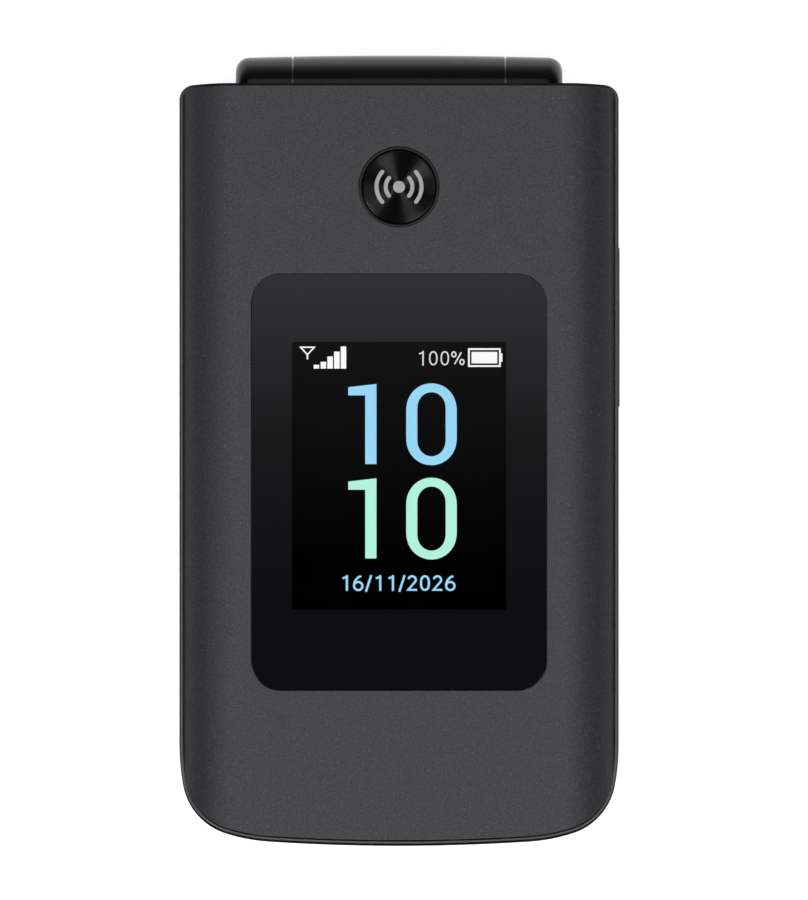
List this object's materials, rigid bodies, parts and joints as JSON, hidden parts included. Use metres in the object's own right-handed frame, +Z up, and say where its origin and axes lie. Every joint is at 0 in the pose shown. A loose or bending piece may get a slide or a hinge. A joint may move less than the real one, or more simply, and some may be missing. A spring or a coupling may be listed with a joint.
{
  "type": "flip phone",
  "caption": "Folding mobile phone with a hinged lid, a small outside display and a round front button, and a keypad and main display inside.",
  "frame": {"origin": "middle of the back on the surface that the closed phone lies on", "axes": "+X across the phone, +Y along it towards the hinge, +Z up out of the lid"},
  "size_m": [0.0578, 0.1036, 0.0193],
  "materials": {
    "graphite_paint": "dark grey paint with a fine metallic fleck, satin",
    "satin_rim": "dark grey satin moulding",
    "black_plastic": "black moulded plastic, fine texture",
    "button_metal": "black anodised, spun in fine circles",
    "bezel_black": "black, satin",
    "lens_glass": "clear glass printed black behind, around the display",
    "display_module": "dark display glass in a thin steel tray",
    "foam_rubber": "black foam or silicone",
    "steel": "bright or nickel-plated steel",
    "circuit_board": "solder-masked board",
    "battery_wrap": "printed wrap without text",
    "flex_copper": "amber polyimide flex",
    "key_plastic": "dark grey keys with white legends, satin",
    "call_green": "green key, satin",
    "end_red": "red key, satin"
  },
  "bodies": {
    "base": {"rear_housing": "graphite_paint", "keypad_fascia": "graphite_paint", "main_board": "circuit_board", "keypad_mat": "foam_rubber", "battery": "battery_wrap", "battery_contacts": "black_plastic", "sim_holder": "steel", "usb_port": "steel", "headphone_jack": "black_plastic", "loudspeaker": "black_plastic", "vibration_motor": "steel", "camera_module": "black_plastic", "camera_window": "lens_glass", "antenna": "black_plastic", "base_screws": "steel", "hinge_shaft": "steel", "hinge_cam": "steel", "flex_bush": "black_plastic"},
    "lid": {"lid_frame": "satin_rim", "lid_cover": "graphite_paint", "lid_inner_cover": "black_plastic", "front_lens": "lens_glass", "front_display": "display_module", "display_gasket": "foam_rubber", "inner_lens": "lens_glass", "main_display": "display_module", "earpiece": "black_plastic", "earpiece_mesh": "steel", "lid_board": "circuit_board", "lid_magnet": "steel", "lid_bumpers": "foam_rubber", "button_bezel": "bezel_black", "lid_screws": "steel", "hinge_cartridge": "steel", "hinge_follower": "steel", "hinge_spring": "steel", "hinge_flex": "flex_copper"},
    "battery_cover": {"battery_cover": "graphite_paint"},
    "volume_rocker": {"volume_rocker": "satin_rim"},
    "quick_call_button": {"quick_call_button": "button_metal"},
    "nav_gimbal": {"nav_gimbal": "steel"},
    "nav_ring": {"nav_ring": "key_plastic"},
    "ok_key": {"ok_key": "key_plastic"},
    "soft_key_left": {"soft_key_left": "key_plastic"},
    "soft_key_right": {"soft_key_right": "key_plastic"},
    "call_key": {"call_key": "call_green"},
    "end_key": {"end_key": "end_red"},
    "clear_key": {"clear_key": "key_plastic"},
    "key_1": {"key_1": "key_plastic"},
    "key_2": {"key_2": "key_plastic"},
    "key_3": {"key_3": "key_plastic"},
    "key_4": {"key_4": "key_plastic"},
    "key_5": {"key_5": "key_plastic"},
    "key_6": {"key_6": "key_plastic"},
    "key_7": {"key_7": "key_plastic"},
    "key_8": {"key_8": "key_plastic"},
    "key_9": {"key_9": "key_plastic"},
    "key_star": {"key_star": "key_plastic"},
    "key_0": {"key_0": "key_plastic"},
    "key_hash": {"key_hash": "key_plastic"}
  },
  "joints": [
    {"name": "lid_hinge", "type": "hinge", "parent": "base", "child": "lid", "pos_m": [0, 0.04765, 0.01065], "axis": [-1, 0, 0], "range_deg": [0, 160]},
    {"name": "quick_call_button_press", "type": "slide", "parent": "lid", "child": "quick_call_button", "axis": [0, 0, -1], "range_m": [0, 0.0004], "stiffness_N_per_m": 200},
    {"name": "battery_cover_slide", "type": "slide", "parent": "base", "child": "battery_cover", "axis": [0, -1, 0], "range_m": [0, 0.082]},
    {"name": "volume_rock", "type": "hinge", "parent": "base", "child": "volume_rocker", "pos_m": [0.0267, 0.0162, 0.0048], "axis": [0, 0, 1], "range_deg": [-1.5, 1.5], "stiffness_Nm_per_rad": 0.05},
    {"name": "nav_tilt_side", "type": "hinge", "parent": "base", "child": "nav_gimbal", "pos_m": [0, 0.017, 0.0085], "axis": [0, 1, 0], "range_deg": [-1, 1], "stiffness_Nm_per_rad": 0.05},
    {"name": "nav_tilt_up_down", "type": "hinge", "parent": "nav_gimbal", "child": "nav_ring", "pos_m": [0, 0.017, 0.0085], "axis": [1, 0, 0], "range_deg": [-1, 1], "stiffness_Nm_per_rad": 0.05},
    {"name": "ok_key_press", "type": "slide", "parent": "base", "child": "ok_key", "axis": [0, 0, -1], "range_m": [0, 0.0004], "stiffness_N_per_m": 200},
    {"name": "soft_key_left_press", "type": "slide", "parent": "base", "child": "soft_key_left", "axis": [0, 0, -1], "range_m": [0, 0.0004], "stiffness_N_per_m": 200},
    {"name": "soft_key_right_press", "type": "slide", "parent": "base", "child": "soft_key_right", "axis": [0, 0, -1], "range_m": [0, 0.0004], "stiffness_N_per_m": 200},
    {"name": "call_key_press", "type": "slide", "parent": "base", "child": "call_key", "axis": [0, 0, -1], "range_m": [0, 0.0004], "stiffness_N_per_m": 200},
    {"name": "end_key_press", "type": "slide", "parent": "base", "child": "end_key", "axis": [0, 0, -1], "range_m": [0, 0.0004], "stiffness_N_per_m": 200},
    {"name": "clear_key_press", "type": "slide", "parent": "base", "child": "clear_key", "axis": [0, 0, -1], "range_m": [0, 0.0004], "stiffness_N_per_m": 200},
    {"name": "key_1_press", "type": "slide", "parent": "base", "child": "key_1", "axis": [0, 0, -1], "range_m": [0, 0.0004], "stiffness_N_per_m": 200},
    {"name": "key_2_press", "type": "slide", "parent": "base", "child": "key_2", "axis": [0, 0, -1], "range_m": [0, 0.0004], "stiffness_N_per_m": 200},
    {"name": "key_3_press", "type": "slide", "parent": "base", "child": "key_3", "axis": [0, 0, -1], "range_m": [0, 0.0004], "stiffness_N_per_m": 200},
    {"name": "key_4_press", "type": "slide", "parent": "base", "child": "key_4", "axis": [0, 0, -1], "range_m": [0, 0.0004], "stiffness_N_per_m": 200},
    {"name": "key_5_press", "type": "slide", "parent": "base", "child": "key_5", "axis": [0, 0, -1], "range_m": [0, 0.0004], "stiffness_N_per_m": 200},
    {"name": "key_6_press", "type": "slide", "parent": "base", "child": "key_6", "axis": [0, 0, -1], "range_m": [0, 0.0004], "stiffness_N_per_m": 200},
    {"name": "key_7_press", "type": "slide", "parent": "base", "child": "key_7", "axis": [0, 0, -1], "range_m": [0, 0.0004], "stiffness_N_per_m": 200},
    {"name": "key_8_press", "type": "slide", "parent": "base", "child": "key_8", "axis": [0, 0, -1], "range_m": [0, 0.0004], "stiffness_N_per_m": 200},
    {"name": "key_9_press", "type": "slide", "parent": "base", "child": "key_9", "axis": [0, 0, -1], "range_m": [0, 0.0004], "stiffness_N_per_m": 200},
    {"name": "key_star_press", "type": "slide", "parent": "base", "child": "key_star", "axis": [0, 0, -1], "range_m": [0, 0.0004], "stiffness_N_per_m": 200},
    {"name": "key_0_press", "type": "slide", "parent": "base", "child": "key_0", "axis": [0, 0, -1], "range_m": [0, 0.0004], "stiffness_N_per_m": 200},
    {"name": "key_hash_press", "type": "slide", "parent": "base", "child": "key_hash", "axis": [0, 0, -1], "range_m": [0, 0.0004], "stiffness_N_per_m": 200}
  ]
}
